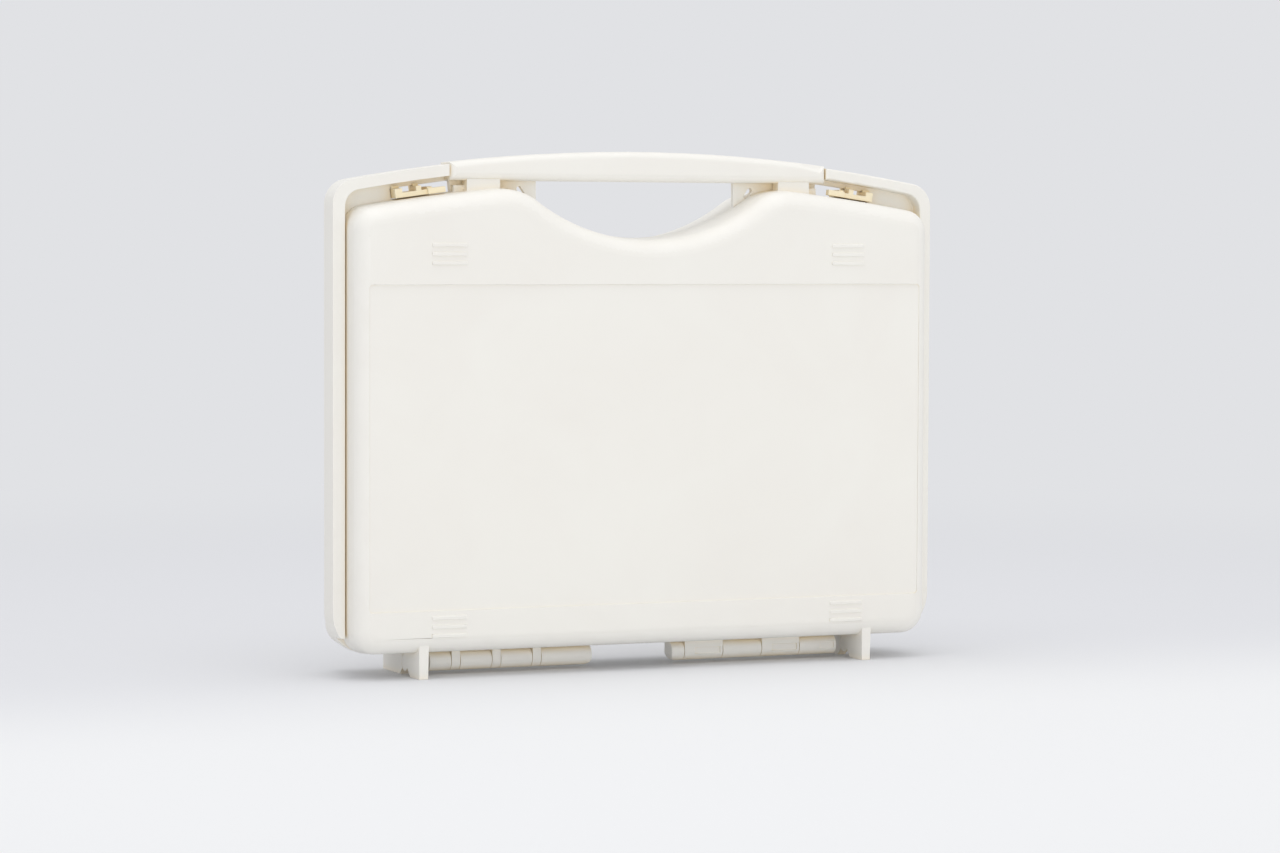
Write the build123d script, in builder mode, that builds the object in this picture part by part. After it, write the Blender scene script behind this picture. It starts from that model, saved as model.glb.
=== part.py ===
from build123d import *
from math import asin, cos, degrees, radians, sin, sqrt, tan
import os

# Carrying case of injection moulded plastic, 344 x 274 x 60 mm, standing on its hinge side.
#
# Two thin shells meet at a parting plane and turn on two knuckle hinges along the bottom.  The base
# shell has a rim that stands forward round the lid and runs over the top as an arched rail.  The
# handle is moulded half on each shell, over a finger opening, and two slides in the rail lock the
# lid.
#
# Frame: +X to the right, -Y is the front, +Z up.  The origin is on the floor under the middle.

os.makedirs("parts", exist_ok=True)

# ---------------------------------------------------------------- driving dimensions, in mm
case_width = 344.0        # over the rims
case_height = 273.6       # floor to the crown of the handle
case_depth = 60.0         # front face to back face
lid_depth = 24.0          # front face to the parting plane
wall = 2.5                # moulded wall of both shells
shell_bottom = 12.3       # floor to the underside of the shells

arch_radius = 905.0       # outer edge of the rail over the top
rail_thickness = 6.0      # rail, measured square to the arch
rail_gap = 8.5            # rail to the shoulders of the shells
rim_width = 7.0           # how far the rim stands out beyond the shells at the sides
rim_front = 8.5           # rim in front of the parting plane
rim_back = 7.5            # rim behind the parting plane
rim_corner = 13.0         # upper corners of the rim
rim_foot_corner = 22.0    # lower corners of the rim
rim_foot = 9.0            # shell bottom to the lower end of the rim's front part
rim_edge = 2.0            # rounding of the rim's edges

shoulder_corner = 13.0    # outer upper corners of the shells
foot_corner = 13.5        # lower corners of the shells
recess_corner = 9.0       # upper corners of the recess inside the rim
scoop_radius = 106.0      # finger scoop
scoop_drop = 45.5         # crown of the handle to the bottom of the scoop
crest_radius = 32.0       # rounding from the scoop into the shoulder
lid_draft = 4.0           # degrees
base_draft = 3.0          # degrees
lid_edge = 9.5            # rounding round the front face
base_edge = 8.0           # rounding round the back face

panel_side = 14.5         # rims to the sunk panel on the front and on the back
panel_rise = 23.1         # underside of the shells to the panel
panel_drop = 69.8         # crown of the handle to the panel
panel_corner = 2.0
panel_sink = 0.9

mark_count = 3            # short raised ribs, in four groups on the front
mark_length = 19.0
mark_width = 1.7
mark_pitch = 4.65
mark_proud = 0.7
mark_side = 58.0          # rims to the middle of the marks
mark_rise_low = 14.9      # underside of the shells to the middle of the lower marks
mark_drop = 54.1          # crown of the handle to the middle of the upper marks

grip_side = 64.0          # rims to the ends of the handle
grip_proud = 1.1          # handle over the rail, above and in front
grip_drop = 15.9          # crown of the handle to its flat underside
grip_edge = 4.2           # rounding of the handle
grip_wall = 2.5
grip_rib = 1.6            # ribs inside the handle
grip_rib_pitch = 24.0
grip_rib_count = 8
leg_end = 9.5             # ends of the handle to the legs that carry the lid's half of it
leg_width = 18.5
leg_front_gap = 0.8       # leg behind the rail's front face

web = 3.0                 # plate between the base shell and the rail
post_inner = 57.0         # half width of the finger opening
slit_offset = 8.5         # finger opening to the slanted slit beside each post
slit_length = 6.5
slit_width = 2.6
slit_above = 5.6          # middle of the slit under the handle
slit_tilt = 35.0          # degrees

axis_height = 7.0         # floor to the hinge axis
barrel_radius = 5.2
pin_radius = 1.5
pin_clearance = 0.05
knuckle_gap = 0.3
left_hinge_inner = 26.5   # middle of the case to the inner ends of the hinges
right_hinge_inner = 20.0
hinge_side = 54.4         # rims to the outer ends of both hinges
hinge_end_round = 3.6     # rounding of the inner end
hinge_cap = 4.0           # closed inner end of the barrel
pin_recess = 1.5          # pin inside the outer end
ring_width = 4.7          # narrow lid knuckles of the left hinge
ring_end = 14.35          # outer end of the left hinge to the first ring
ring_pitch = 22.75
ring_count = 3
panel_knuckle = 22.3      # wide lid knuckles of the right hinge
panel_knuckle_end = 18.7  # inner end of the right hinge to the first wide knuckle
panel_knuckle_pitch = 45.6
panel_knuckle_count = 2
knuckle_pocket_length = 15.0
knuckle_pocket_width = 3.6
knuckle_pocket_depth = 0.9
knuckle_pocket_inset = 1.4  # pocket to the outer end of its knuckle
end_pocket_length = 8.5   # pocket in the outermost knuckle of the right hinge

fin_side = 44.7           # rims to the feet at the outer ends of the hinges
fin_thickness = 5.0
fin_front_gap = 1.6       # front foot behind the lid's face
fin_back_gap = 2.0        # back foot in front of the back face
fin_hub = 4.6             # round heel of the front foot, about the hinge axis
fin_relief = 48.5         # degrees, undercut of each foot below the axis

slot_side = 34.4          # rims to the latch slot in the plate
slot_length = 32.7
slot_height = 5.8         # slot above the shoulders
latch_clearance = 0.4
latch_travel = 11.0
latch_bar = 2.6           # height of the bar under the thumb ribs
latch_setback = 2.2       # latch behind the rail's front face
latch_back = 2.4          # thickness of the heads behind the web
latch_back_rise = 1.6     # heads over the edge of the slot
latch_lip = 1.6           # thickness of the lips in front of the web
latch_lip_rise = 1.0      # lips over the edge of the slot
rib_outer = 4.1           # thumb ribs of a latch, outer, middle and inner
rib_middle = 2.9
rib_inner = 2.8
rib_middle_gap = 7.6      # outer rib to middle rib
rib_inner_height = 3.8    # low enough to pass under the handle
hook_length = 6.8
hook_height = 3.0
hook_depth = 3.6
hook_setback = 0.8
lug_length = 7.0          # lid lug that the hook slides in front of, outwards from the leg
lug_root = 1.0            # how far it runs back into the leg
lug_height = 3.3
lug_thickness = 3.4

seam = 0.3                # lid to base at the parting plane
rim_clearance = 0.35      # lid to rim

# ---------------------------------------------------------------- places that follow from them
front_y = (mark_proud - case_depth) / 2
back_y = front_y + case_depth
part_y = front_y + lid_depth
lid_back_y = part_y - seam
rim_front_y = part_y - rim_front
rim_back_y = part_y + rim_back
grip_half_depth = rim_front + grip_proud
half_width = case_width / 2
shell_half = half_width - rim_width
scoop_height = case_height - scoop_drop
panel_width = case_width - 2 * panel_side
panel_low = shell_bottom + panel_rise
panel_high = case_height - panel_drop
mark_x = half_width - mark_side
mark_low = shell_bottom + mark_rise_low
mark_high = case_height - mark_drop
grip_span = case_width - 2 * grip_side
grip_low = case_height - grip_drop
leg_outer = grip_span / 2 - leg_end
leg_inner = leg_outer - leg_width
slit_x = post_inner + slit_offset
hinge_outer = half_width - hinge_side
ring_first = hinge_outer - ring_end
panel_knuckle_first = right_hinge_inner + panel_knuckle_end
fin_x = half_width - fin_side
slot_outer = half_width - slot_side
slot_inner = slot_outer - slot_length
latch_x = (slot_inner + slot_outer) / 2
lug_outer = leg_outer + lug_length - lug_root
lug_inner = leg_outer - lug_root
arch_z = case_height - grip_proud - arch_radius
shoulder_radius = arch_radius - rail_thickness - rail_gap
base_depth = case_depth - lid_depth
slide_angle = degrees(asin(latch_x / shoulder_radius))
latch_z = arch_z + sqrt(shoulder_radius**2 - latch_x**2)


def facing_front(y):
    """Upright plane at depth y that faces the front; its x runs along +X and its y along +Z."""
    return Plane(origin=(0, y, 0), x_dir=(1, 0, 0), z_dir=(0, -1, 0))


def facing_back(y):
    """Upright plane at depth y that faces the back; its x runs along -X and its y along +Z."""
    return Plane(origin=(0, y, 0), x_dir=(-1, 0, 0), z_dir=(0, 1, 0))


def across(x):
    """Upright plane across the case at x; its x runs along +Y and its y along +Z."""
    return Plane(origin=(x, 0, 0), x_dir=(0, 1, 0), z_dir=(1, 0, 0))


def along_slot(y):
    """Upright plane at depth y on the right shoulder, its x outwards along the latch slot."""
    slope = radians(slide_angle)
    return Plane(origin=(latch_x, y, latch_z), x_dir=(cos(slope), 0, -sin(slope)), z_dir=(0, -1, 0))


def arched_outline(plane, side, low, radius, top_corner, low_corner):
    """Outline with straight sides and bottom, an arched top and four rounded corners."""
    with BuildSketch(plane) as outline:
        with Locations((0, low)):
            Rectangle(2 * side, case_height, align=(Align.CENTER, Align.MIN))
        with Locations((0, arch_z)):
            Circle(radius, mode=Mode.INTERSECT)
        fillet(outline.vertices().sort_by(Axis.Y)[:2], low_corner)
        fillet(outline.vertices().sort_by(Axis.Y)[-2:], top_corner)
    return outline.sketch


def shell_outline(plane, inset):
    """Outline of lid and base, with the finger scoop between two shoulders, inset by a wall."""
    side = shell_half - inset
    with BuildSketch(plane) as outline:
        with Locations((0, shell_bottom + inset)):
            Rectangle(2 * side, case_height, align=(Align.CENTER, Align.MIN))
        with Locations((0, arch_z)):
            Circle(shoulder_radius - inset, mode=Mode.INTERSECT)
        with Locations((0, scoop_height + scoop_radius)):
            Circle(scoop_radius + inset, mode=Mode.SUBTRACT)
        fillet(outline.vertices().sort_by(lambda v: abs(v.X))[:2], crest_radius - inset)
        fillet(outline.vertices().sort_by(Axis.Y)[:2], foot_corner - inset)
        outer = outline.vertices().filter_by(lambda v: abs(v.X) > shell_half - inset - wall)
        fillet(outer.sort_by(Axis.Y)[-2:], shoulder_corner - inset)
    return outline.sketch


def shell_block(plane, inset, depth, draft, edge):
    """Drafted block on the shells' outline, growing along the plane's normal, its far edge rounded."""
    lean = depth * tan(radians(draft))
    outwards = Axis(plane.origin, plane.z_dir)
    with BuildPart() as block:
        add(shell_outline(plane, inset))
        add(shell_outline(plane.offset(depth), inset + lean))
        loft(ruled=True)
        fillet(block.faces().sort_by(outwards)[-1].edges(), edge)
    return block.part


def half_grip(plane, depth):
    """Half of the handle: flat below, arched above, rounded along its outer edges."""
    outwards = Axis(plane.origin, plane.z_dir)
    with BuildPart() as half:
        with BuildSketch(plane):
            with Locations((0, grip_low)):
                Rectangle(grip_span, case_height, align=(Align.CENTER, Align.MIN))
            with Locations((0, arch_z)):
                Circle(arch_radius + grip_proud, mode=Mode.INTERSECT)
        extrude(amount=depth)
        fillet(half.faces().sort_by(outwards)[-1].edges(), grip_edge)
    return half.part


def grip_hollow(plane, depth):
    """Hollow of a half handle, open at the parting plane, left solid at its cross ribs."""
    with BuildPart() as hollow:
        with BuildSketch(plane):
            with Locations((0, grip_low + grip_wall)):
                Rectangle(grip_span - 2 * grip_wall, case_height, align=(Align.CENTER, Align.MIN))
            with Locations((0, arch_z)):
                Circle(arch_radius + grip_proud - grip_wall, mode=Mode.INTERSECT)
            with Locations((0, grip_low)):
                with GridLocations(grip_rib_pitch, 1, grip_rib_count, 1):
                    Rectangle(grip_rib, 3 * grip_wall + case_height, mode=Mode.SUBTRACT)
        extrude(amount=depth - grip_wall)
    return hollow.part


def marks(plane, middle_z):
    """Two groups of short ribs, one each side, drawn on an upright plane."""
    with BuildSketch(plane) as ribs:
        with Locations((0, middle_z)):
            with GridLocations(2 * mark_x, mark_pitch, 2, mark_count):
                Rectangle(mark_length, mark_width)
    return ribs.sketch


def panel(plane):
    """Outline of the sunk panel."""
    with BuildSketch(plane) as outline:
        with Locations((0, (panel_low + panel_high) / 2)):
            RectangleRounded(panel_width, panel_high - panel_low, panel_corner)
    return outline.sketch


# ---------------------------------------------------------------- hinges
left_rings = [(-ring_first + i * ring_pitch, ring_width) for i in range(ring_count)]
right_panels = [
    (panel_knuckle_first + i * panel_knuckle_pitch, panel_knuckle)
    for i in range(panel_knuckle_count)
]


def spans_between(knuckles, start, end):
    """Spans of the base's knuckles: what the lid's knuckles leave of a hinge from start to end."""
    spans = []
    low = start
    for middle, width in sorted(knuckles):
        spans.append((low, middle - width / 2 - knuckle_gap))
        low = middle + width / 2 + knuckle_gap
    spans.append((low, end))
    return spans


def knuckle(low, high, neck_low, neck_high):
    """Round knuckle about the hinge axis from low to high along X, with its neck up to a shell."""
    with BuildPart() as one:
        with BuildSketch(across(low)):
            with Locations((part_y, axis_height)):
                Circle(barrel_radius)
            with Locations((part_y + neck_low, axis_height)):
                Rectangle(
                    neck_high - neck_low,
                    shell_bottom + wall / 2 - axis_height,
                    align=(Align.MIN, Align.MIN),
                )
        extrude(amount=high - low)
    return one.part


def hinge_start(side):
    """Distance from the middle of the case to the inner end of a hinge."""
    return right_hinge_inner if side > 0 else left_hinge_inner


def inner_end_cutter(side):
    """Prism that rounds the lower edge of a barrel's inner end."""
    bottom = axis_height - barrel_radius
    end = side * hinge_start(side)
    with BuildPart() as cutter:
        with BuildSketch(facing_front(part_y)):
            with Locations((end, bottom)):
                Rectangle(2 * hinge_end_round, 2 * hinge_end_round)
            with Locations((end + side * hinge_end_round, bottom + hinge_end_round)):
                Circle(hinge_end_round, mode=Mode.SUBTRACT)
        extrude(amount=2 * barrel_radius, both=True)
    return cutter.part


def knuckle_pockets(knuckle_ends, length):
    """Shallow pockets in the front of the right hinge, near the outer ends of knuckles."""
    with BuildPart() as pockets:
        with BuildSketch(facing_front(part_y - barrel_radius + knuckle_pocket_depth)):
            for end in knuckle_ends:
                with Locations((end - knuckle_pocket_inset, axis_height)):
                    Rectangle(length, knuckle_pocket_width, align=(Align.MAX, Align.CENTER))
        extrude(amount=knuckle_pocket_depth)
    return pockets.part


def hinge_bore(side):
    """Bore for the hinge pin, blind at the inner end and open at the outer end."""
    inner = hinge_start(side) + hinge_cap
    with BuildPart() as bore:
        with BuildSketch(across(side * inner)):
            with Locations((part_y, axis_height)):
                Circle(pin_radius + pin_clearance)
        extrude(amount=side * (hinge_outer + wall - inner))
    return bore.part


relief_run = axis_height * tan(radians(fin_relief))
fin_top = shell_bottom + lid_edge


def front_fin(x):
    """Foot of the lid, with a round heel about the hinge axis."""
    toe = front_y + fin_front_gap
    with BuildPart() as foot:
        with BuildSketch(across(x - fin_thickness / 2)):
            with BuildLine():
                Polyline(
                    (toe, 0),
                    (part_y - relief_run, 0),
                    (part_y - seam, axis_height - seam / tan(radians(fin_relief))),
                    (lid_back_y, fin_top),
                    (toe, fin_top),
                    close=True,
                )
            make_face()
            with Locations((part_y, axis_height)):
                Circle(fin_hub)
        extrude(amount=fin_thickness)
    return foot.part


def back_fin(x):
    """Foot of the base, hollowed round the heel of the lid's foot."""
    heel = back_y - fin_back_gap
    with BuildPart() as foot:
        with BuildSketch(across(x - fin_thickness / 2)):
            with BuildLine():
                Polyline(
                    (heel, 0),
                    (part_y + relief_run, 0),
                    (part_y, axis_height),
                    (part_y, fin_top),
                    (heel, fin_top),
                    close=True,
                )
            make_face()
            with Locations((part_y, axis_height)):
                Circle(fin_hub + knuckle_gap, mode=Mode.SUBTRACT)
        extrude(amount=fin_thickness)
    return foot.part


# ---------------------------------------------------------------- lid shell
lid_plane = facing_front(lid_back_y)
lid_outer = shell_block(lid_plane, 0, lid_depth - seam, lid_draft, lid_edge)
lid_hollow = shell_block(lid_plane, wall, lid_depth - seam - wall, lid_draft, lid_edge - wall)
lid_grip = half_grip(lid_plane, grip_half_depth - seam)
lid_grip_hollow = grip_hollow(lid_plane, grip_half_depth - seam)
leg_low = scoop_height + wall
leg_depth = rim_front - leg_front_gap - seam
lug_z = arch_z + sqrt(shoulder_radius**2 - lug_outer**2)

with BuildPart() as lid_shell:
    add(lid_outer)
    # legs under the handle
    with BuildSketch(lid_plane):
        with Locations((0, grip_low + grip_wall / 2)):
            with GridLocations(leg_inner + leg_outer, 1, 2, 1):
                Rectangle(leg_outer - leg_inner, grip_low - leg_low, align=(Align.CENTER, Align.MAX))
    extrude(amount=leg_depth)
    # lugs that the latch hooks slide in front of
    with BuildSketch(lid_plane):
        with Locations((0, lug_z + lug_height)):
            with GridLocations(lug_inner + lug_outer, 1, 2, 1):
                Rectangle(lug_outer - lug_inner, lug_height + wall, align=(Align.CENTER, Align.MAX))
    extrude(amount=lug_thickness)
    add(lid_grip)
    for side in (1, -1):
        add(front_fin(side * fin_x))
    for middle, width in left_rings + right_panels:
        add(knuckle(middle - width / 2, middle + width / 2, -barrel_radius, -seam))
    panel_ends = [middle + width / 2 for middle, width in right_panels]
    add(knuckle_pockets(panel_ends, knuckle_pocket_length), mode=Mode.SUBTRACT)
    for side in (1, -1):
        add(hinge_bore(side), mode=Mode.SUBTRACT)
    add(lid_hollow, mode=Mode.SUBTRACT)
    add(lid_grip_hollow, mode=Mode.SUBTRACT)
    extrude(panel(facing_front(front_y)), amount=-panel_sink, mode=Mode.SUBTRACT)
    for middle_z in (mark_low, mark_high):
        extrude(marks(facing_front(front_y + wall / 2), middle_z), amount=wall / 2 + mark_proud)
lid_shell.part.label = "lid_shell"


# ---------------------------------------------------------------- base shell
rear_plane = facing_back(part_y)
web_back_y = part_y + web
recess_half = shell_half + rim_clearance
recess_radius = arch_radius - rail_thickness
base_outer = shell_block(rear_plane, 0, base_depth, base_draft, base_edge)
base_hollow = shell_block(rear_plane, wall, base_depth - wall, base_draft, base_edge - wall)
base_grip = half_grip(rear_plane, grip_half_depth)
base_grip_hollow = grip_hollow(rear_plane, grip_half_depth)

# the rim in front of the parting plane, open below and where the lid's half of the handle sits
with BuildPart() as rim_band:
    with BuildSketch(facing_front(part_y)):
        add(
            arched_outline(
                Plane.XY, case_width / 2, shell_bottom, arch_radius, rim_corner, rim_foot_corner
            )
        )
        add(
            arched_outline(
                Plane.XY, recess_half, 0, recess_radius, recess_corner, foot_corner / 2
            ),
            mode=Mode.SUBTRACT,
        )
        Rectangle(case_width, 2 * (shell_bottom + rim_foot), mode=Mode.SUBTRACT)
        with Locations((0, grip_low)):
            Rectangle(
                grip_span + 2 * seam, case_height, align=(Align.CENTER, Align.CENTER), mode=Mode.SUBTRACT
            )
    extrude(amount=rim_front)
    fillet(rim_band.faces().sort_by(Axis.Y)[0].edges(), rim_edge / 2)

# the rim behind the parting plane, with the plate between shell and rail
with BuildPart() as rim_plate:
    with BuildSketch(facing_front(rim_back_y)):
        add(
            arched_outline(
                Plane.XY, case_width / 2, shell_bottom, arch_radius, rim_corner, rim_foot_corner
            )
        )
    extrude(amount=rim_back)
    fillet(rim_plate.faces().sort_by(Axis.Y)[-1].edges(), rim_edge)

# space behind the plate, between the shoulders and the rail
with BuildPart() as plate_space:
    with BuildSketch(facing_back(web_back_y)):
        add(
            arched_outline(
                Plane.XY, recess_half, shell_bottom, recess_radius, recess_corner, foot_corner
            )
        )
        Rectangle(case_width, 2 * (scoop_height - wall), mode=Mode.SUBTRACT)
        add(shell_outline(Plane.XY, 0), mode=Mode.SUBTRACT)
    extrude(amount=rim_back)

# finger opening between the scoop and the handle
with BuildPart() as finger_opening:
    with BuildSketch(rear_plane):
        with Locations((0, grip_low)):
            Rectangle(2 * post_inner, grip_low - scoop_height + wall, align=(Align.CENTER, Align.MAX))
        add(shell_outline(Plane.XY, 0), mode=Mode.SUBTRACT)
    extrude(amount=rim_back)

# openings in the plate at the right: the latch slot and the slit beside the post
with BuildPart() as plate_cuts:
    with BuildSketch(along_slot(web_back_y)):
        with Locations((0, slot_height)):
            Rectangle(slot_length, slot_height + wall / 2, align=(Align.CENTER, Align.MAX))
    extrude(amount=web)
    with BuildSketch(facing_front(web_back_y)):
        with Locations(Location((slit_x, grip_low - slit_above), -slit_tilt)):
            SlotOverall(slit_length, slit_width, rotation=90)
    extrude(amount=web)

with BuildPart() as base_shell:
    add(rim_plate.part)
    add(rim_band.part)
    add(plate_space.part, mode=Mode.SUBTRACT)
    add(finger_opening.part, mode=Mode.SUBTRACT)
    add(plate_cuts.part, mode=Mode.SUBTRACT)
    add(mirror(plate_cuts.part, about=Plane.YZ), mode=Mode.SUBTRACT)
    add(base_outer)
    add(base_grip)
    for side in (1, -1):
        add(back_fin(side * fin_x))
    for low, high in spans_between(left_rings, -hinge_outer, -left_hinge_inner):
        add(knuckle(low, high, 0, barrel_radius))
    for low, high in spans_between(right_panels, right_hinge_inner, hinge_outer):
        add(knuckle(low, high, 0, barrel_radius))
    add(knuckle_pockets([hinge_outer], end_pocket_length), mode=Mode.SUBTRACT)
    for side in (1, -1):
        add(inner_end_cutter(side), mode=Mode.SUBTRACT)
        add(hinge_bore(side), mode=Mode.SUBTRACT)
    add(base_hollow, mode=Mode.SUBTRACT)
    add(base_grip_hollow, mode=Mode.SUBTRACT)
    extrude(panel(facing_back(back_y)), amount=-panel_sink, mode=Mode.SUBTRACT)
base_shell.part.label = "base_shell"


# ---------------------------------------------------------------- hinge pins
pin_outer = hinge_outer - pin_recess


def pin_rod(side):
    """Steel rod of one hinge, from its inner end outwards, its ends chamfered."""
    pin_inner = hinge_start(side) + hinge_cap + knuckle_gap
    with BuildPart() as rod:
        with BuildSketch(across(side * pin_inner)):
            with Locations((part_y, axis_height)):
                Circle(pin_radius)
        extrude(amount=side * (pin_outer - pin_inner))
        chamfer(rod.edges(), pin_radius / 5)
    return rod.part


with BuildPart() as left_hinge_pin:
    add(pin_rod(-1))
left_hinge_pin.part.label = "left_hinge_pin"

with BuildPart() as right_hinge_pin:
    add(pin_rod(1))
right_hinge_pin.part.label = "right_hinge_pin"


# ---------------------------------------------------------------- latches
bar_inner = slot_inner + latch_travel + 2 * latch_clearance - latch_x
bar_outer = slot_outer - latch_clearance - latch_x
bar_front_y = part_y - rim_front + latch_setback
bar_back_y = web_back_y + latch_clearance + latch_back
middle_rib = bar_outer - rib_outer - rib_middle_gap - rib_middle
tall_ribs = [(bar_outer - rib_outer, rib_outer), (middle_rib, rib_middle)]


def latch_ribs(height):
    """The two tall thumb ribs, from the shoulder up to a height, in the sketch along the slot."""
    for start, length in tall_ribs:
        with Locations((start, latch_clearance)):
            Rectangle(length, height - latch_clearance, align=(Align.MIN, Align.MIN))


with BuildPart() as right_latch:
    # bar through the slot, with the thumb ribs standing on it
    with BuildSketch(along_slot(bar_back_y)):
        with Locations((bar_inner, latch_clearance)):
            Rectangle(bar_outer - bar_inner, latch_bar, align=(Align.MIN, Align.MIN))
            Rectangle(rib_inner, rib_inner_height, align=(Align.MIN, Align.MIN))
        latch_ribs(slot_height - latch_clearance)
    extrude(amount=bar_back_y - bar_front_y)
    # heads behind the plate and lips in front of it
    with BuildSketch(along_slot(bar_back_y)):
        latch_ribs(slot_height + latch_back_rise)
    extrude(amount=latch_back)
    with BuildSketch(along_slot(part_y - latch_clearance)):
        latch_ribs(slot_height + latch_lip_rise)
    extrude(amount=latch_lip)
    # hook that runs in front of the lid's lug
    with BuildSketch(along_slot(rim_front_y + hook_setback + hook_depth)):
        with Locations((bar_inner + rib_inner, latch_clearance)):
            Rectangle(hook_length + rib_inner, hook_height, align=(Align.MAX, Align.MIN))
    extrude(amount=hook_depth)
right_latch.part.label = "right_latch"

with BuildPart() as left_latch:
    add(mirror(right_latch.part, about=Plane.YZ))
left_latch.part.label = "left_latch"

# ---------------------------------------------------------------- files
export_step(lid_shell.part, "parts/lid_shell.step")
export_step(base_shell.part, "parts/base_shell.step")
export_step(left_latch.part, "parts/left_latch.step")
export_step(right_latch.part, "parts/right_latch.step")
export_step(left_hinge_pin.part, "parts/left_hinge_pin.step")
export_step(right_hinge_pin.part, "parts/right_hinge_pin.step")
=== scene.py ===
import logging
from dataclasses import dataclass, field
from enum import Enum
from math import radians

import bmesh
import bpy
from mathutils import Matrix, Vector
from mathutils.kdtree import KDTree


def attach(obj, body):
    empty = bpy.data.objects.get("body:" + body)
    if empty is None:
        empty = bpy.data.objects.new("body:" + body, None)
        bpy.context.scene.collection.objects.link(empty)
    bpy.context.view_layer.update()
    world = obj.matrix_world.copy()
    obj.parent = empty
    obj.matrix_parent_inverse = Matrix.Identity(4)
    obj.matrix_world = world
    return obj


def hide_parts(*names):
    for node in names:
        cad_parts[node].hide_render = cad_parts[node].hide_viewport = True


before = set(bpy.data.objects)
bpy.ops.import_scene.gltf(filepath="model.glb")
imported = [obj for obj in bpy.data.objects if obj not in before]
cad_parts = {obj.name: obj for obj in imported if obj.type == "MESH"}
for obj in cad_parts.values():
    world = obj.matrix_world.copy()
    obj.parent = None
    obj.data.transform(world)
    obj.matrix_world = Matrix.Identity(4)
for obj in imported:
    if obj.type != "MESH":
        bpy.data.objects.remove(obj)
log = logging.getLogger("carrying_case")
MM = 0.001
WORN_AND_HIGHLIT = "worn_and_highlit"
WHOLE = (0.0, 1.0)
Colour = tuple[float, float, float, float]


class Body(Enum):
    """The moving bodies of the case."""

    BASE = "base"
    LID = "lid"
    LATCH_LEFT = "latch_left"
    LATCH_RIGHT = "latch_right"


class Slot(Enum):
    """The finishes that the case is ordered in."""

    SHELL = "shell"
    LATCH = "latch"


class Inwards(Enum):
    """The way that the inner face of a shell's wall looks, as the sign of its Y direction."""

    TO_BACK = 1
    TO_FRONT = -1


def rgb(red: float, green: float, blue: float) -> Colour:
    """Turns a screen colour, 0 to 255, into the linear colour that a shader takes.

    Args:
        red: Red of the screen colour.
        green: Green of the screen colour.
        blue: Blue of the screen colour.

    Returns:
        The linear colour with an alpha of one.
    """
    linear = [((c / 255 + 0.055) / 1.055) ** 2.4 for c in (red, green, blue)]
    return (*linear, 1.0)


# ---------------------------------------------------------------- shader helpers
class Graph:
    """A node tree that is built from left to right, with short calls for nodes and links."""

    def __init__(self, tree: bpy.types.NodeTree) -> None:
        """Takes the tree to build in."""
        self.tree = tree

    def add(
        self, kind: str, values: dict[str, object] | None = None, **settings: object
    ) -> bpy.types.Node:
        """Adds a node.

        Args:
            kind: The node's type, without the word ShaderNode.
            values: Values of its input sockets, by their names.
            **settings: Properties of the node.

        Returns:
            The new node.
        """
        node = self.tree.nodes.new("ShaderNode" + kind)
        for name, value in settings.items():
            setattr(node, name, value)
        for name, value in (values or {}).items():
            node.inputs[name].default_value = value
        return node

    def place(
        self, group: bpy.types.NodeTree, values: dict[str, float] | None = None
    ) -> bpy.types.Node:
        """Places a shared effect.

        Args:
            group: The effect's node group.
            values: Values of its inputs, by their names, where they aren't the group's own.

        Returns:
            The group's node.
        """
        return self.add("Group", values, node_tree=group)

    def link(self, source: bpy.types.NodeSocket, target: bpy.types.NodeSocket) -> None:
        """Links an output to an input."""
        self.tree.links.new(source, target)

    def math(
        self, operation: str, first: bpy.types.NodeSocket, second: bpy.types.NodeSocket | float
    ) -> bpy.types.NodeSocket:
        """Works out one number from two.

        Args:
            operation: The Math node's operation.
            first: The first number.
            second: The second number, an output or a constant.

        Returns:
            The result.
        """
        node = self.add("Math", operation=operation)
        self.link(first, node.inputs[0])
        if isinstance(second, bpy.types.NodeSocket):
            self.link(second, node.inputs[1])
        else:
            node.inputs[1].default_value = second
        return node.outputs["Value"]

    def remap(
        self,
        value: bpy.types.NodeSocket,
        start: tuple[float, float],
        end: tuple[float, float],
        interpolation: str = "LINEAR",
    ) -> bpy.types.NodeSocket:
        """Maps a number from one range to another.

        Args:
            value: The number.
            start: The range that it comes in.
            end: The range that it goes out in.
            interpolation: How it goes from one end to the other.

        Returns:
            The mapped number.
        """
        node = self.add("MapRange", interpolation_type=interpolation)
        self.link(value, node.inputs["Value"])
        node.inputs["From Min"].default_value, node.inputs["From Max"].default_value = start
        node.inputs["To Min"].default_value, node.inputs["To Max"].default_value = end
        return node.outputs["Result"]

    def blend(
        self, mask: bpy.types.NodeSocket, low: bpy.types.NodeSocket | Colour, high: Colour
    ) -> bpy.types.NodeSocket:
        """Mixes two colours by a mask.

        Args:
            mask: Output that is 0 where the low colour shows and 1 where the high one does.
            low: The low colour, an output or a constant.
            high: The high colour, a constant.

        Returns:
            The mixed colour.
        """
        node = self.add("Mix", data_type="RGBA")
        factor = next(socket for socket in node.inputs if socket.enabled)
        first, second = (socket for socket in node.inputs if socket.type == "RGBA")
        self.link(mask, factor)
        if isinstance(low, bpy.types.NodeSocket):
            self.link(low, first)
        else:
            first.default_value = low
        second.default_value = high
        return next(socket for socket in node.outputs if socket.type == "RGBA")


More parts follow.
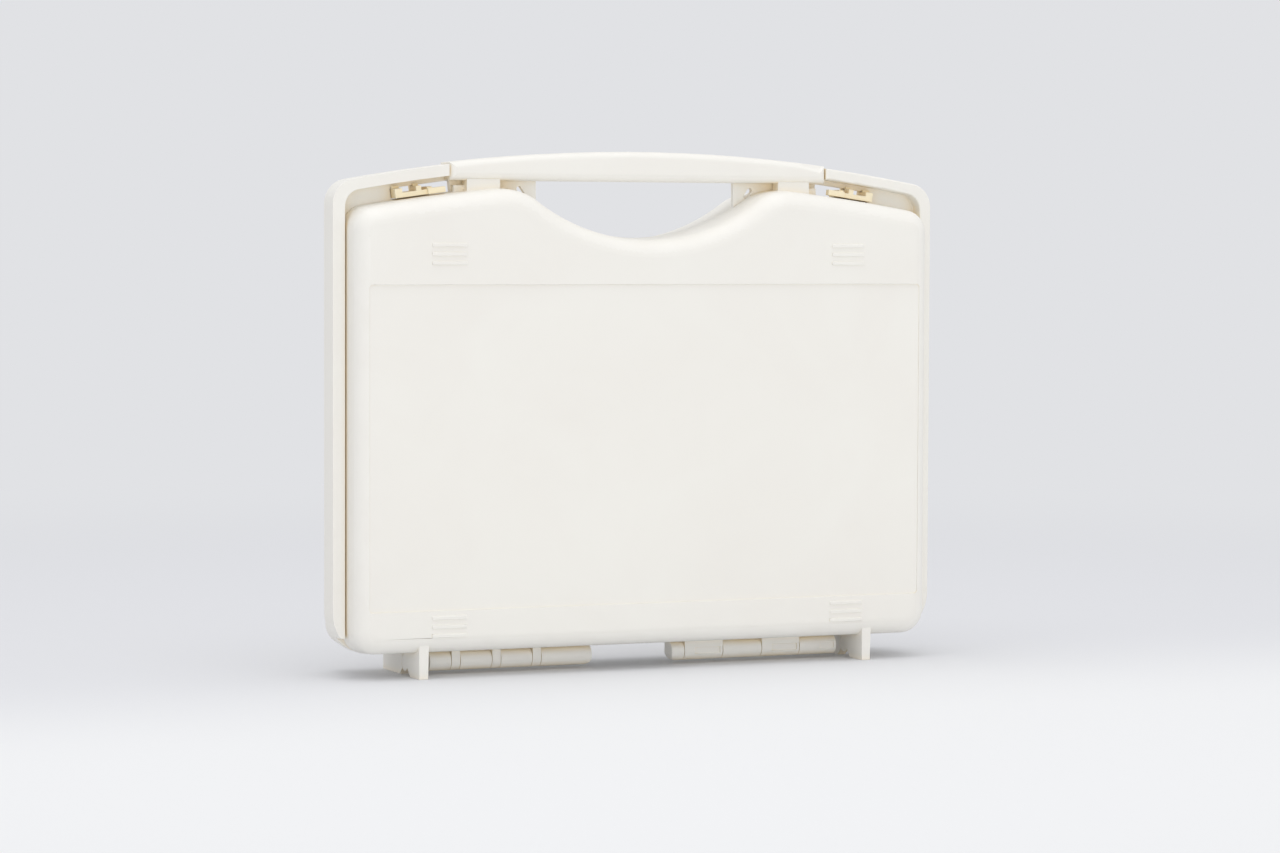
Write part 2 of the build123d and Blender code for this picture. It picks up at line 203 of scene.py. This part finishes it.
def start_group(
    name: str, inputs: dict[str, float], outputs: tuple[str, ...]
) -> tuple[Graph, bpy.types.Node, bpy.types.Node]:
    """Starts a shader node group for an effect that several finishes share.

    Args:
        name: The group's name.
        inputs: The group's number inputs with their defaults.
        outputs: The group's number outputs.

    Returns:
        The graph of the new group, its input node and its output node.
    """
    tree = bpy.data.node_groups.new(name, "ShaderNodeTree")
    for label, value in inputs.items():
        socket = tree.interface.new_socket(label, in_out="INPUT", socket_type="NodeSocketFloat")
        socket.default_value = value
    for label in outputs:
        tree.interface.new_socket(label, in_out="OUTPUT", socket_type="NodeSocketFloat")
    return Graph(tree), tree.nodes.new("NodeGroupInput"), tree.nodes.new("NodeGroupOutput")


@dataclass(frozen=True)
class ErodedTexture:
    """The fine pitted texture that a spark-eroded mould leaves."""

    grain: float = 1400.0
    detail: float = 2.0
    coarseness: float = 0.65

    def build(self) -> bpy.types.NodeTree:
        """Builds the effect's node group.

        Returns:
            The group, with output Height for a bump.
        """
        graph, start, end = start_group("eroded_texture", {"Grain": self.grain}, ("Height",))
        place = graph.add("TexCoord")
        grain = graph.add("TexNoise", {"Detail": self.detail, "Roughness": self.coarseness})
        graph.link(place.outputs["Object"], grain.inputs["Vector"])
        graph.link(start.outputs["Grain"], grain.inputs["Scale"])
        graph.link(grain.outputs["Fac"], end.inputs["Height"])
        return graph.tree


@dataclass(frozen=True)
class MeltMottle:
    """The slow mottling that the melt leaves as it fills the mould."""

    cloud: float = 14.0
    swirl: float = 0.8
    detail: float = 4.0
    coarseness: float = 0.5
    contrast: tuple[float, float] = (0.3, 0.7)

    def build(self) -> bpy.types.NodeTree:
        """Builds the effect's node group.

        Returns:
            The group, with output Mottle from 0 to 1 for colour and roughness.
        """
        inputs = {"Cloud": self.cloud, "Swirl": self.swirl}
        graph, start, end = start_group("melt_mottle", inputs, ("Mottle",))
        place = graph.add("TexCoord")
        cloud = graph.add("TexNoise", {"Detail": self.detail, "Roughness": self.coarseness})
        graph.link(place.outputs["Object"], cloud.inputs["Vector"])
        graph.link(start.outputs["Cloud"], cloud.inputs["Scale"])
        graph.link(start.outputs["Swirl"], cloud.inputs["Distortion"])
        graph.link(graph.remap(cloud.outputs["Fac"], self.contrast, WHOLE), end.inputs["Mottle"])
        return graph.tree


@dataclass(frozen=True)
class PaintedCreviceGlow:
    """The mask of grooves and hollows, where a painted warm glow stands in for the light that goes
    through the plastic many times there.
    """

    reach: float = 8 * MM
    start: float = 0.1
    open_share: float = 0.8
    rays: int = 8

    def build(self) -> bpy.types.NodeTree:
        """Builds the effect's node group.

        Returns:
            The group, with output Depth, from 0 in the open to 1 deep in a groove, read off the
            ambient occlusion, as the mask of a painted glow.
        """
        inputs = {"Reach": self.reach, "Start": self.start}
        graph, start, end = start_group("painted_crevice_glow_mask", inputs, ("Depth",))
        shade = graph.add("AmbientOcclusion", samples=self.rays)
        graph.link(start.outputs["Reach"], shade.inputs["Distance"])
        ramp = graph.add(
            "MapRange", {"From Max": self.open_share, "To Min": 1.0, "To Max": 0.0},
            interpolation_type="SMOOTHSTEP",
        )
        graph.link(shade.outputs["AO"], ramp.inputs["Value"])
        graph.link(start.outputs["Start"], ramp.inputs["From Min"])
        graph.link(ramp.outputs["Result"], end.inputs["Depth"])
        return graph.tree


@dataclass(frozen=True)
class WornAndHighlitEdges:
    """The mask of edges and roundings, which hands and shelves have rubbed smoother, and where a
    painted highlight lightens the colour.
    """

    patch: float = 60.0
    detail: float = 2.0
    contrast: tuple[float, float] = (0.35, 0.6)
    wear: tuple[float, float] = (0.3, 1.0)

    def build(self) -> bpy.types.NodeTree:
        """Builds the effect's node group.

        Returns:
            The group, with one output, from 0 on the faces to 1 on the edges, for wear and a
            painted highlight.
        """
        graph, start, end = start_group("worn_and_highlit_edges", {"Patch": self.patch}, ("WornAndHighlit",))
        place = graph.add("TexCoord")
        edges = graph.add("Attribute", attribute_name=WORN_AND_HIGHLIT)
        patches = graph.add("TexNoise", {"Detail": self.detail})
        graph.link(start.outputs["Patch"], patches.inputs["Scale"])
        graph.link(place.outputs["Object"], patches.inputs["Vector"])
        patch = graph.remap(patches.outputs["Fac"], self.contrast, self.wear)
        graph.link(graph.math("MULTIPLY", edges.outputs["Fac"], patch), end.inputs["WornAndHighlit"])
        return graph.tree


@dataclass(frozen=True)
class ShelfScuffs:
    """The faint hair scratches of a case that has been carried and put down."""

    spacing: float = 260.0
    amount: float = 0.5
    lays: tuple[float, ...] = (0.5, 1.9)
    stretch: tuple[float, float, float] = (1.0, 1.0, 0.04)
    wander: float = 1.0
    coarseness: float = 0.4
    crest: float = 0.5
    hair: float = 0.006
    patch: float = 22.0
    patch_detail: float = 3.0
    patch_contrast: tuple[float, float] = (0.56, 0.72)

    def hairs(
        self, graph: Graph, turn: float, place: bpy.types.Node, start: bpy.types.Node
    ) -> bpy.types.NodeSocket:
        """Builds the hair scratches that run one way.

        Args:
            graph: The graph to build in.
            turn: The way that they run, as a turn about Y in radians.
            place: The texture coordinates.
            start: The group's input node.

        Returns:
            An output that is 1 on a scratch.
        """
        lay = graph.add("Mapping", {"Rotation": (0.0, turn, 0.0), "Scale": self.stretch})
        waves = graph.add("TexNoise", {"Detail": self.wander, "Roughness": self.coarseness})
        graph.link(place.outputs["Object"], lay.inputs["Vector"])
        graph.link(lay.outputs["Vector"], waves.inputs["Vector"])
        graph.link(start.outputs["Spacing"], waves.inputs["Scale"])
        height = graph.math("SUBTRACT", waves.outputs["Fac"], self.crest)
        return graph.remap(graph.math("ABSOLUTE", height, 0.0), (0.0, self.hair), (1.0, 0.0))

    def build(self) -> bpy.types.NodeTree:
        """Builds the effect's node group.

        Returns:
            The group, with output Scuff, 0 where the surface is untouched.
        """
        inputs = {"Spacing": self.spacing, "Amount": self.amount}
        graph, start, end = start_group("shelf_scuffs", inputs, ("Scuff",))
        place = graph.add("TexCoord")
        first, second = (self.hairs(graph, turn, place, start) for turn in self.lays)
        patches = graph.add("TexNoise", {"Scale": self.patch, "Detail": self.patch_detail})
        graph.link(place.outputs["Object"], patches.inputs["Vector"])
        patch = graph.remap(patches.outputs["Fac"], self.patch_contrast, WHOLE)
        seen = graph.math("MULTIPLY", graph.math("MAXIMUM", first, second), patch)
        graph.link(graph.math("MULTIPLY", seen, start.outputs["Amount"]), end.inputs["Scuff"])
        return graph.tree


@dataclass(frozen=True)
class Effects:
    """The shared effects that finishes are made from."""

    texture: bpy.types.NodeTree = field(default_factory=lambda: ErodedTexture().build())
    mottle: bpy.types.NodeTree = field(default_factory=lambda: MeltMottle().build())
    painted_crevice_glow: bpy.types.NodeTree = field(default_factory=lambda: PaintedCreviceGlow().build())
    edges: bpy.types.NodeTree = field(default_factory=lambda: WornAndHighlitEdges().build())
    scuffs: bpy.types.NodeTree = field(default_factory=lambda: ShelfScuffs().build())


@dataclass(frozen=True)
class PlasticFinish:
    """A moulded plastic: its colours, gloss and texture."""

    name: str
    open_colour: Colour
    mottled_colour: Colour
    # Colour of the painted glow in hollows, which stands in for light that goes through the plastic
    # there.
    painted_crevice_glow_colour: Colour
    # Lighter colour of the painted highlight on edges and roundings.
    worn_highlight_colour: Colour
    roughness: float
    roughness_spread: float = 0.05
    rubbed_gloss: float = 0.12
    scuff_roughness: float = 0.14
    grain: float = 1400.0
    grain_depth: float = 0.03 * MM
    texture_strength: float = 0.35
    refraction: float = 1.49

    def build(self, effects: Effects) -> bpy.types.Material:
        """Builds the material.

        Args:
            effects: The shared effects.

        Returns:
            The finished material.
        """
        material = bpy.data.materials.new(self.name)
        material.use_nodes = True
        graph = Graph(material.node_tree)
        shader = material.node_tree.nodes["Principled BSDF"]
        grain = graph.place(effects.texture, {"Grain": self.grain})
        melt = graph.place(effects.mottle)
        painted_glow_mask = graph.place(effects.painted_crevice_glow)
        edges = graph.place(effects.edges)
        scuffs = graph.place(effects.scuffs)
        plain = graph.blend(melt.outputs["Mottle"], self.open_colour, self.mottled_colour)
        # Painted glow: a warmer colour where ambient occlusion finds a hollow, in place of light
        # that goes through the plastic.
        with_painted_glow = graph.blend(painted_glow_mask.outputs["Depth"], plain, self.painted_crevice_glow_colour)
        # Painted highlight: a lighter colour on edges and roundings, beside the real polish of wear
        # in the roughness.
        worn_and_highlit = graph.blend(edges.outputs["WornAndHighlit"], with_painted_glow, self.worn_highlight_colour)
        graph.link(worn_and_highlit, shader.inputs["Base Color"])
        spread = self.roughness_spread
        melted = graph.remap(
            melt.outputs["Mottle"], WHOLE, (self.roughness - spread, self.roughness + spread)
        )
        polish = graph.math("MULTIPLY", edges.outputs["WornAndHighlit"], -self.rubbed_gloss)
        rough = graph.math("MULTIPLY", scuffs.outputs["Scuff"], self.scuff_roughness)
        worn = graph.math("ADD", graph.math("ADD", melted, polish), rough)
        graph.link(worn, shader.inputs["Roughness"])
        bump = graph.add(
            "Bump", {"Strength": self.texture_strength, "Distance": self.grain_depth}
        )
        graph.link(grain.outputs["Height"], bump.inputs["Height"])
        graph.link(bump.outputs["Normal"], shader.inputs["Normal"])
        shader.inputs["IOR"].default_value = self.refraction
        return material


@dataclass(frozen=True)
class SteelFinish:
    """Drawn steel rod: its colour and the fine lines along it."""

    name: str = "drawn_steel"
    colour: Colour = rgb(176, 177, 180)
    roughness: tuple[float, float] = (0.24, 0.46)
    lines: tuple[float, float, float] = (40.0, 2600.0, 2600.0)
    detail: float = 3.0

    def build(self) -> bpy.types.Material:
        """Builds the material.

        Returns:
            The finished material.
        """
        material = bpy.data.materials.new(self.name)
        material.use_nodes = True
        graph = Graph(material.node_tree)
        shader = material.node_tree.nodes["Principled BSDF"]
        place = graph.add("TexCoord")
        stretch = graph.add("Mapping", {"Scale": self.lines})
        lines = graph.add("TexNoise", {"Scale": 1.0, "Detail": self.detail})
        graph.link(place.outputs["Object"], stretch.inputs["Vector"])
        graph.link(stretch.outputs["Vector"], lines.inputs["Vector"])
        drawn = graph.remap(lines.outputs["Fac"], WHOLE, self.roughness)
        graph.link(drawn, shader.inputs["Roughness"])
        shader.inputs["Base Color"].default_value = self.colour
        shader.inputs["Metallic"].default_value = 1.0
        return material


# ---------------------------------------------------------------- the mouldings
def select_only(*objects: bpy.types.Object) -> None:
    """Selects these objects and nothing else, the first of them active.

    Args:
        *objects: The objects.
    """
    bpy.ops.object.select_all(action="DESELECT")
    for thing in objects:
        thing.select_set(True)
    bpy.context.view_layer.objects.active = objects[0]


class SolidNormals:
    """The normals of a solid's mesh, whose points are doubled where its faces meet."""

    def __init__(self, mesh: bpy.types.Mesh) -> None:
        """Takes the mesh whose normals are looked up.

        Args:
            mesh: The solid's mesh.
        """
        self.normals = [Vector() for _ in mesh.vertices]
        for corner, normal in zip(mesh.loops, mesh.corner_normals):
            self.normals[corner.vertex_index] = normal.vector.copy()
        self.tree = KDTree(len(self.normals))
        for vertex in mesh.vertices:
            self.tree.insert(vertex.co, vertex.index)
        self.tree.balance()

    def find(self, place: Vector, facing: Vector, reach: float) -> Vector | None:
        """Finds the normal near a place that turns the least from a face.

        Args:
            place: The place.
            facing: The normal of the face.
            reach: How far from the place the solid's point may be.

        Returns:
            The normal, or None where no point is in reach.
        """
        near = [self.normals[hit[1]] for hit in self.tree.find_range(place, reach)]
        return max(near, key=facing.dot, default=None)


@dataclass
class Moulding:
    """A moulded piece: a clean copy of its solid, its sharp edges broken as a mould leaves them."""

    node: str
    name: str
    body: Body
    slot: Slot
    finish: bpy.types.Material
    weld: float = 0.002 * MM
    sharp_angle: float = radians(50)
    edge_radius: float = 0.25 * MM
    normal_reach: float = 0.5 * MM
    shortest_edge: float = 1.2 * MM
    edge_segments: int = 2
    smooth_angle: float = radians(32)
    slanted: float = 0.96
    rounding_wear_and_highlight: float = 0.45
    same_way: float = 0.8

    def copy_solid(self) -> bpy.types.Object:
        """Copies the solid's mesh, merged to one skin.

        Returns:
            The copy.
        """
        piece = bpy.data.objects.new(self.name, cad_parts[self.node].data.copy())
        piece.data.name = self.name
        bpy.context.scene.collection.objects.link(piece)
        select_only(piece)
        bpy.ops.object.mode_set(mode="EDIT")
        bpy.ops.mesh.select_mode(type="VERT")
        bpy.ops.mesh.select_all(action="SELECT")
        bpy.ops.mesh.remove_doubles(threshold=self.weld)
        bpy.ops.object.mode_set(mode="OBJECT")
        return piece

    def break_edges(self, piece: bpy.types.Object) -> None:
        """Rounds the sharp edges of a piece by a hair, and marks what is rubbed in use.

        Args:
            piece: The piece.
        """
        select_only(piece)
        bpy.ops.object.mode_set(mode="EDIT")
        bpy.ops.mesh.select_mode(type="EDGE")
        bpy.ops.mesh.select_all(action="DESELECT")
        bpy.ops.mesh.edges_select_sharp(sharpness=self.sharp_angle)
        mesh = bmesh.from_edit_mesh(piece.data)
        for edge in mesh.edges:
            if edge.select and edge.calc_length() < self.shortest_edge:
                edge.select_set(False)
        bmesh.update_edit_mesh(piece.data)
        bpy.ops.mesh.bevel(
            offset=self.edge_radius, segments=self.edge_segments, affect="EDGES",
            clamp_overlap=False, loop_slide=True, miter_outer="SHARP",
        )
        bpy.ops.object.mode_set(mode="OBJECT")
        # This mark drives both the polish of wear and a painted highlight, a lighter colour, on
        # edges and roundings.
        worn_and_highlit = piece.data.attributes.new(WORN_AND_HIGHLIT, "FLOAT", "FACE")
        for face in piece.data.polygons:
            slanted = max(abs(part) for part in face.normal) < self.slanted
            worn_and_highlit.data[face.index].value = 1.0 if face.select else self.rounding_wear_and_highlight * slanted

    def take_normals(self, piece: bpy.types.Object) -> None:
        """Gives a piece the solid's own normals, apart from the middle of its broken edges.

        Args:
            piece: The piece.
        """
        solid = SolidNormals(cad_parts[self.node].data)
        mesh = piece.data
        worn_and_highlit = mesh.attributes[WORN_AND_HIGHLIT].data
        whole = [face for face in mesh.polygons if worn_and_highlit[face.index].value < 1.0]
        kept = {index for face in whole for index in face.vertices}
        normals = [normal.vector.copy() for normal in mesh.corner_normals]
        for face in mesh.polygons:
            for corner in face.loop_indices:
                vertex = mesh.vertices[mesh.loops[corner].vertex_index]
                if vertex.index not in kept:
                    continue
                for reach in (self.weld, self.normal_reach):
                    own = solid.find(vertex.co, face.normal, reach)
                    if own is not None and own.dot(face.normal) > self.same_way:
                        normals[corner] = own
                        break
        mesh.normals_split_custom_set(normals)

    def shade(self, piece: bpy.types.Object) -> None:
        """Smooths a piece over its broken edges, with the solid's own normals everywhere else.

        Args:
            piece: The piece.
        """
        select_only(piece)
        bpy.ops.object.shade_smooth_by_angle(angle=self.smooth_angle)
        weigh = piece.modifiers.new("weigh", "WEIGHTED_NORMAL")
        weigh.keep_sharp = True
        bpy.ops.object.modifier_apply(modifier=weigh.name)
        self.take_normals(piece)

    def settle(self, piece: bpy.types.Object) -> None:
        """Dresses a piece and hands it to its body in place of its solid.

        Args:
            piece: The finished piece.
        """
        piece.data.materials.clear()
        piece.data.materials.append(self.finish)
        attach(piece, self.body.value)
        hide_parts(self.node)
        log.info("%s: %d faces on %s", piece.name, len(piece.data.polygons), self.body.value)

    def build(self) -> bpy.types.Object:
        """Builds the piece and hands it over.

        Returns:
            The piece.
        """
        piece = self.copy_solid()
        self.break_edges(piece)
        self.shade(piece)
        self.settle(piece)
        return piece


@dataclass(frozen=True)
class Stud:
    """A low round stud that a mould leaves on a wall, with a dished top and a broken edge."""

    name: str
    radius: float
    proud: float
    dish: float
    buried: float = 0.4 * MM
    sides: int = 36
    rim_share: float = 0.16
    edge_share: float = 0.3
    edge_segments: int = 2
    facing: float = 0.9
    level: float = 0.002 * MM

    def build(
        self, place: tuple[float, float], wall_y: float, inwards: Inwards
    ) -> bpy.types.Object:
        """Makes the stud.

        Args:
            place: Its X and Z.
            wall_y: The Y of the wall that it stands on.
            inwards: The way that the wall faces.

        Returns:
            The stud.
        """
        way = inwards.value
        middle = wall_y + way * (self.proud - self.buried) / 2
        bpy.ops.object.select_all(action="DESELECT")
        bpy.ops.mesh.primitive_cylinder_add(
            vertices=self.sides, radius=self.radius, depth=self.proud + self.buried,
            location=(place[0], middle, place[1]), rotation=(radians(-90) * way, 0, 0),
        )
        stud = bpy.context.object
        stud.name = self.name
        bpy.ops.object.transform_apply(location=True, rotation=True, scale=True)
        bpy.ops.object.mode_set(mode="EDIT")
        bpy.ops.mesh.select_mode(type="FACE")
        bpy.ops.mesh.select_all(action="DESELECT")
        mesh = bmesh.from_edit_mesh(stud.data)
        for face in mesh.faces:
            if face.normal.y * way > self.facing:
                face.select_set(True)
        bmesh.update_edit_mesh(stud.data)
        bpy.ops.mesh.inset(thickness=self.radius * self.rim_share)
        bpy.ops.transform.translate(value=(0, -way * self.dish, 0))
        bpy.ops.mesh.select_mode(type="EDGE")
        bpy.ops.mesh.select_all(action="DESELECT")
        mesh = bmesh.from_edit_mesh(stud.data)
        rim_y = wall_y + way * self.proud
        for edge in mesh.edges:
            if all(abs(point.co.y - rim_y) < self.level for point in edge.verts):
                edge.select_set(True)
        bmesh.update_edit_mesh(stud.data)
        bpy.ops.mesh.bevel(
            offset=self.proud * self.edge_share, segments=self.edge_segments, affect="EDGES"
        )
        bpy.ops.object.mode_set(mode="OBJECT")
        return stud


@dataclass
class Shell(Moulding):
    """A shell of the case, with the marks that its mould leaves on the inside."""

    inside_y: float = 0.0
    inwards: Inwards = Inwards.TO_BACK
    pin_columns: tuple[float, ...] = (-135 * MM, -68 * MM, 0.0, 68 * MM, 135 * MM)
    pin_rows: tuple[float, ...] = (38 * MM, 120 * MM, 200 * MM)
    pin_mark: Stud = Stud(name="pin", radius=3 * MM, proud=0.15 * MM, dish=0.1 * MM)
    gate_place: tuple[float, float] = (0.0, 145 * MM)
    gate_stub: Stud = Stud(name="gate", radius=1.7 * MM, proud=0.7 * MM, dish=0.3 * MM)

    def build(self) -> bpy.types.Object:
        """Builds the shell, with its ejector pin marks and the stub of its gate.

        Returns:
            The shell.
        """
        piece = self.copy_solid()
        self.break_edges(piece)
        self.shade(piece)
        studs = [self.gate_stub.build(self.gate_place, self.inside_y, self.inwards)]
        for x in self.pin_columns:
            for z in self.pin_rows:
                studs.append(self.pin_mark.build((x, z), self.inside_y, self.inwards))
        select_only(*studs)
        bpy.ops.object.shade_smooth_by_angle(angle=self.smooth_angle)
        select_only(piece, *studs)
        bpy.ops.object.join()
        self.settle(piece)
        return piece


@dataclass
class HingePin:
    """A hinge pin, which is its solid in drawn steel."""

    node: str
    finish: bpy.types.Material

    def build(self) -> None:
        """Dresses the pin."""
        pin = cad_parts[self.node]
        pin.data.materials.clear()
        pin.data.materials.append(self.finish)
        log.info("%s: dressed in %s", self.node, self.finish.name)


# ---------------------------------------------------------------- the studio
@dataclass(frozen=True)
class Lamp:
    """A soft lamp: where it hangs, the size of its face and its power in watts."""

    name: str
    place: tuple[float, float, float]
    face: tuple[float, float]
    power: float

    def hang(self, target: Vector) -> None:
        """Hangs the lamp so that it shines at a target.

        Args:
            target: The place that it shines at.
        """
        lamp = bpy.data.lights.new(self.name, "AREA")
        lamp.shape = "RECTANGLE"
        lamp.size, lamp.size_y = self.face
        lamp.energy = self.power
        hung = bpy.data.objects.new(self.name, lamp)
        hung.location = self.place
        aim = target - Vector(self.place)
        hung.rotation_euler = aim.to_track_quat("-Z", "Y").to_euler()
        bpy.context.scene.collection.objects.link(hung)


@dataclass
class Studio:
    """Paper floor, soft lamps, even room light and camera."""

    floor_size: float = 16.0
    floor_near: Colour = rgb(238, 239, 240)
    # Tone of the backdrop, and the end colour of the painted shade across the floor.
    backdrop_and_painted_floor_shade: Colour = rgb(225, 226, 229)
    floor_roughness: float = 0.9
    floor_gloss: float = 0.1
    painted_floor_shade_fade: tuple[float, float] = (-0.30, 0.10)
    horizon_fade: tuple[float, float] = (0.45, 1.5)
    room_colour: Colour = (0.985, 0.985, 1.0, 1.0)
    room_strength: float = 0.79
    target: tuple[float, float, float] = (0.0, 0.0, 0.12)
    lamps: tuple[Lamp, ...] = (
        Lamp("front", (-0.2, -2.6, 0.22), (2.6, 0.4), 8),
        Lamp("key", (0.5, -2.3, 2.3), (3.0, 3.0), 2),
        Lamp("side", (-2.4, -1.0, 1.2), (1.8, 1.8), 1),
        Lamp("top", (-0.2, -0.4, 2.6), (2.4, 2.4), 20),
    )
    camera_place: tuple[float, float, float] = (-0.7941, -1.8657, 0.2293)
    yaw: float = 23.198
    pitch: float = 2.875
    roll: float = 0.220
    focal_px: float = 3800.0
    image_width: float = 1280.0
    sensor: float = 36.0
    far_clip: float = 100.0

    def lay_floor(self) -> None:
        """Lays the paper, white in front, with painted shade that darkens it towards the pale
        backdrop behind the case.
        """
        bpy.ops.object.select_all(action="DESELECT")
        bpy.ops.mesh.primitive_plane_add(size=self.floor_size)
        floor = bpy.context.object
        floor.name = "floor"
        material = bpy.data.materials.new("floor_paper")
        material.use_nodes = True
        graph = Graph(material.node_tree)
        shader = material.node_tree.nodes["Principled BSDF"]
        output = material.node_tree.nodes["Material Output"]
        place = graph.add("TexCoord")
        axes = graph.add("SeparateXYZ")
        length = graph.add("VectorMath", operation="LENGTH")
        graph.link(place.outputs["Object"], axes.inputs["Vector"])
        graph.link(place.outputs["Object"], length.inputs[0])
        # Painted shade: the lit floor darkens from front to back, towards the backdrop's tone.
        painted_floor_shade = graph.remap(axes.outputs["Y"], self.painted_floor_shade_fade, WHOLE, "SMOOTHERSTEP")
        graph.link(graph.blend(painted_floor_shade, self.floor_near, self.backdrop_and_painted_floor_shade), shader.inputs["Base Color"])
        shader.inputs["Roughness"].default_value = self.floor_roughness
        shader.inputs["Specular IOR Level"].default_value = self.floor_gloss
        far = graph.remap(length.outputs["Value"], self.horizon_fade, WHOLE, "SMOOTHERSTEP")
        mask = graph.math("MULTIPLY", far, self.seen_directly(graph))
        backdrop = graph.add("Emission", {"Color": self.backdrop_and_painted_floor_shade, "Strength": 1.0})
        join = graph.add("MixShader")
        graph.link(mask, join.inputs["Fac"])
        graph.link(shader.outputs["BSDF"], join.inputs[1])
        graph.link(backdrop.outputs["Emission"], join.inputs[2])
        graph.link(join.outputs["Shader"], output.inputs["Surface"])
        floor.data.materials.append(material)

    def seen_directly(self, graph: Graph) -> bpy.types.NodeSocket:
        """Mask of the rays that see the backdrop itself, straight or as a reflection.

        Args:
            graph: The graph to build in.

        Returns:
            An output that is 1 for such rays.
        """
        path = graph.add("LightPath")
        straight, mirrored = path.outputs["Is Camera Ray"], path.outputs["Is Glossy Ray"]
        return graph.math("MAXIMUM", straight, mirrored)

    def light_room(self) -> None:
        """Sets the even light of the room, and the tone that shows behind the case."""
        world = bpy.data.worlds.new("room")
        world.use_nodes = True
        bpy.context.scene.world = world
        graph = Graph(world.node_tree)
        room = world.node_tree.nodes["Background"]
        room.inputs["Color"].default_value = self.room_colour
        room.inputs["Strength"].default_value = self.room_strength
        backdrop = graph.add("Background", {"Color": self.backdrop_and_painted_floor_shade, "Strength": 1.0})
        choose = graph.add("MixShader")
        graph.link(self.seen_directly(graph), choose.inputs["Fac"])
        graph.link(room.outputs["Background"], choose.inputs[1])
        graph.link(backdrop.outputs["Background"], choose.inputs[2])
        output = world.node_tree.nodes["World Output"]
        graph.link(choose.outputs["Shader"], output.inputs["Surface"])

    def set_camera(self) -> None:
        """Places the camera."""
        lens = bpy.data.cameras.new("camera")
        lens.sensor_width = self.sensor
        lens.lens = self.focal_px / self.image_width * self.sensor
        lens.clip_end = self.far_clip
        camera = bpy.data.objects.new("camera", lens)
        aim = Matrix.Rotation(radians(-self.yaw), 4, "Z")
        tilt = Matrix.Rotation(radians(90 - self.pitch), 4, "X")
        level = Matrix.Rotation(radians(self.roll), 4, "Z")
        place = Matrix.Translation(Vector(self.camera_place))
        camera.matrix_world = place @ aim @ tilt @ level
        bpy.context.scene.collection.objects.link(camera)
        bpy.context.scene.camera = camera

    def build(self) -> None:
        """Builds the whole studio."""
        bpy.context.scene.view_settings.view_transform = "Standard"
        self.lay_floor()
        self.light_room()
        for lamp in self.lamps:
            lamp.hang(Vector(self.target))
        self.set_camera()
        log.info("studio: floor, room light, %d lamps and camera", len(self.lamps))


def main() -> None:
    """Builds the studio and the case."""
    logging.basicConfig(level=logging.INFO, format="%(name)s: %(message)s")
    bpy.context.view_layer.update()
    Studio().build()
    effects = Effects()
    shell = PlasticFinish(
        name="ivory_polypropylene", roughness=0.5,
        open_colour=rgb(241, 239, 232), mottled_colour=rgb(239, 236, 229),
        painted_crevice_glow_colour=rgb(250, 235, 205), worn_highlight_colour=rgb(245, 243, 237),
    ).build(effects)
    latch = PlasticFinish(
        name="cream_polypropylene", roughness=0.42, grain=1800.0, grain_depth=0.02 * MM,
        open_colour=rgb(249, 237, 207), mottled_colour=rgb(247, 234, 201),
        painted_crevice_glow_colour=rgb(247, 226, 180), worn_highlight_colour=rgb(250, 241, 216),
    ).build(effects)
    steel = SteelFinish().build()
    parts = [
        Shell(
            node="lid_shell", name="lid_moulding", body=Body.LID, slot=Slot.SHELL, finish=shell,
            inside_y=-27.15 * MM, inwards=Inwards.TO_BACK,
        ),
        Shell(
            node="base_shell", name="base_moulding", body=Body.BASE, slot=Slot.SHELL, finish=shell,
            inside_y=27.85 * MM, inwards=Inwards.TO_FRONT,
        ),
        Moulding(
            node="left_latch", name="latch_slide_left", body=Body.LATCH_LEFT, slot=Slot.LATCH,
            finish=latch, shortest_edge=0.0,
        ),
        Moulding(
            node="right_latch", name="latch_slide_right", body=Body.LATCH_RIGHT, slot=Slot.LATCH,
            finish=latch, shortest_edge=0.0,
        ),
        HingePin(node="left_hinge_pin", finish=steel),
        HingePin(node="right_hinge_pin", finish=steel),
    ]
    for part in parts:
        part.build()


if __name__ == "__main__":
    main()
